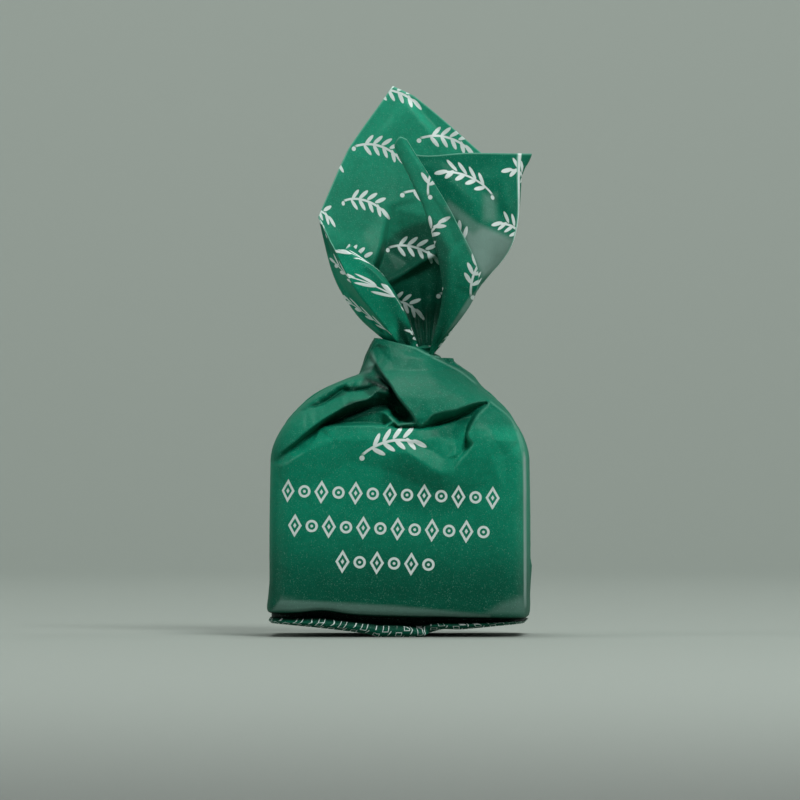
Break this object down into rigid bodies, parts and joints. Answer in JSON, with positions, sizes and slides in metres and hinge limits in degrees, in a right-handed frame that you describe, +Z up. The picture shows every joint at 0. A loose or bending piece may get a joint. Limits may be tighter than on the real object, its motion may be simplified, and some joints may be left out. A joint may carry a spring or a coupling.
{
  "type": "wrapped chocolate truffle",
  "caption": "Soft block of chocolate closed in a waxed paper wrapper, pleated at the shoulders, twisted shut above and open in a flared paper crown.",
  "frame": {"origin": "middle of the footprint, on the surface it stands on", "axes": "+Z up along the pack from the folded base to the crown; -Y is the printed front; +X is to the right of someone facing the front"},
  "size_m": [0.0304, 0.0274, 0.0631],
  "materials": {
    "green_waxed_paper": "semi-gloss waxed paper in deep green with a fine speckle, creased, and printed in white"
  },
  "bodies": {
    "root": {"wrapper": "green_waxed_paper"}
  },
  "joints": []
}
